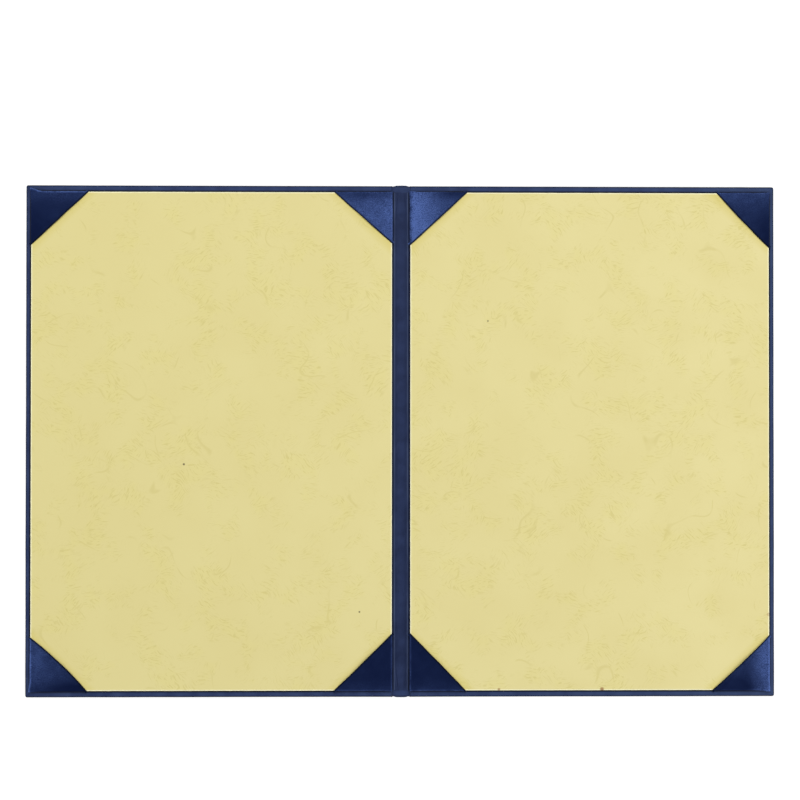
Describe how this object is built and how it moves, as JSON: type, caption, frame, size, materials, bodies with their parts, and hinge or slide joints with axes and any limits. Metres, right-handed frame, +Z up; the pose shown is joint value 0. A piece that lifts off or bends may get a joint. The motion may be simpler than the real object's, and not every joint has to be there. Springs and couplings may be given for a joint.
{
  "type": "diploma cover",
  "caption": "Bifold certificate folder lying open: leatherette boards on a soft spine, cream grain liners with satin corner pockets that hold a certificate sheet.",
  "frame": {"origin": "middle of the spine on the underside, half way between head and tail", "axes": "+X across the open cover to the back cover's fore edge, +Y along the spine to the head, +Z up out of the inside"},
  "size_m": [0.4544, 0.31, 0.0047],
  "materials": {
    "leatherette": "fine grained, low sheen",
    "lining_cloth": "matte",
    "greyboard": "raw",
    "white_card": "smooth",
    "cream_grain_paper": "embossed with a leather grain, matte",
    "navy_satin": "satin weave, glossy"
  },
  "bodies": {
    "back_cover": {"back_cover_skin": "leatherette", "back_cover_board": "greyboard", "back_cover_hinge_lining": "lining_cloth", "back_cover_liner_card": "white_card", "back_cover_grain_sheet": "cream_grain_paper", "back_cover_pocket_head_fore": "navy_satin", "back_cover_pocket_head_spine": "navy_satin", "back_cover_pocket_tail_fore": "navy_satin", "back_cover_pocket_tail_spine": "navy_satin"},
    "spine": {"spine_skin": "leatherette", "spine_lining": "lining_cloth"},
    "front_cover": {"front_cover_skin": "leatherette", "front_cover_board": "greyboard", "front_cover_hinge_lining": "lining_cloth", "front_cover_liner_card": "white_card", "front_cover_grain_sheet": "cream_grain_paper", "front_cover_pocket_head_fore": "navy_satin", "front_cover_pocket_head_spine": "navy_satin", "front_cover_pocket_tail_fore": "navy_satin", "front_cover_pocket_tail_spine": "navy_satin"}
  },
  "joints": [
    {"name": "back_fold", "type": "hinge", "parent": "back_cover", "child": "spine", "pos_m": [0.0041, 0, 0.00135], "axis": [0, 1, 0], "range_deg": [0, 90]},
    {"name": "front_fold", "type": "hinge", "parent": "spine", "child": "front_cover", "pos_m": [-0.0041, 0, 0.00135], "axis": [0, 1, 0], "range_deg": [0, 90]}
  ]
}
